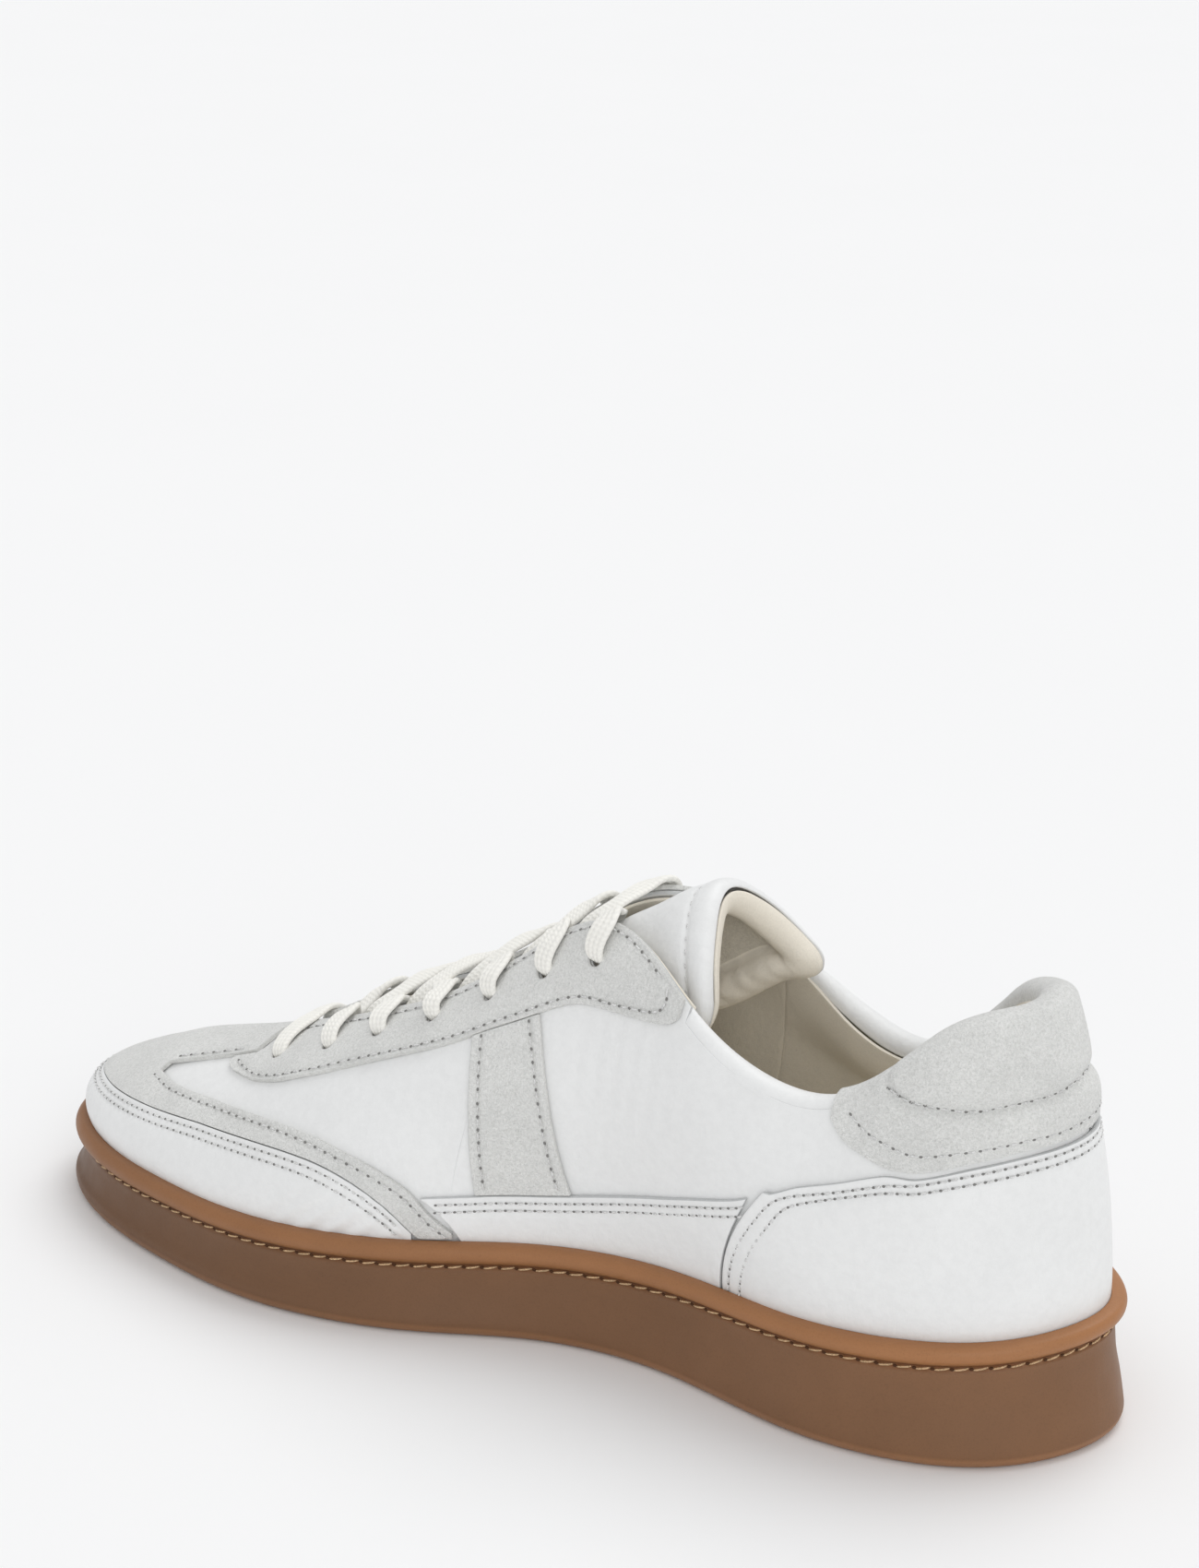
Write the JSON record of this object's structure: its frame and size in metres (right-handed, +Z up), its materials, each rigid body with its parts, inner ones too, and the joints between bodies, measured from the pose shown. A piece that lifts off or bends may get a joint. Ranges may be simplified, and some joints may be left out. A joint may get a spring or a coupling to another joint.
{
  "type": "court shoe",
  "caption": "Low-cut court shoe with a stitched rubber cupsole, leather and suede upper, laced throat and a padded tongue that hinges at the throat.",
  "frame": {"origin": "middle of the outsole's outline, on the ground plane", "axes": "+X from the heel to the toe, +Y towards the inner (medial) side of this right shoe, +Z up from the ground"},
  "size_m": [0.3014, 0.1056, 0.1196],
  "materials": {
    "white_leather": "smooth full-grain, low sheen",
    "grey_suede": "napped split suede, matt",
    "cream_lining": "soft lining leather, matt",
    "gum_rubber": "moulded gum rubber, satin",
    "sole_thread": "waxed thread",
    "eva_foam": "closed-cell foam, matt",
    "insole_board": "pressed fibre board, matt",
    "stiffener_board": "thermoplastic sheet, matt",
    "padding_foam": "open-cell foam, matt",
    "interlining_cloth": "woven cotton backing, matt",
    "cotton_lace": "ribbed braid, matt",
    "aglet_film": "clear film over braid"
  },
  "bodies": {
    "shoe": {"cupsole": "gum_rubber", "sidewall_stitching": "sole_thread", "midsole_filler": "eva_foam", "strobel_board": "insole_board", "footbed": "cream_lining", "vamp": "white_leather", "vamp_lining": "cream_lining", "toe_puff": "stiffener_board", "toe_rand": "white_leather", "toe_overlay": "grey_suede", "heel_foxing": "white_leather", "heel_collar": "grey_suede", "heel_counter": "stiffener_board", "collar_foam": "padding_foam", "lace": "cotton_lace", "quarter_medial": "white_leather", "eyestay_medial": "grey_suede", "saddle_panel_medial": "grey_suede", "foxing_medial": "white_leather", "interlining_medial": "interlining_cloth", "collar_lining_medial": "cream_lining", "facing_lining_medial": "cream_lining", "lace_end_medial": "cotton_lace", "aglet_medial": "aglet_film", "quarter_lateral": "white_leather", "eyestay_lateral": "grey_suede", "saddle_panel_lateral": "grey_suede", "foxing_lateral": "white_leather", "interlining_lateral": "interlining_cloth", "collar_lining_lateral": "cream_lining", "facing_lining_lateral": "cream_lining", "lace_end_lateral": "cotton_lace", "aglet_lateral": "aglet_film"},
    "tongue": {"tongue_cover": "white_leather", "tongue_foam": "padding_foam", "tongue_lining": "cream_lining"}
  },
  "joints": [
    {"name": "tongue_flex", "type": "hinge", "parent": "shoe", "child": "tongue", "pos_m": [0.083, 0, 0.0445], "axis": [0, -1, 0], "range_deg": [0, 8], "stiffness_Nm_per_rad": 0.3, "springref_deg": -5.73}
  ]
}
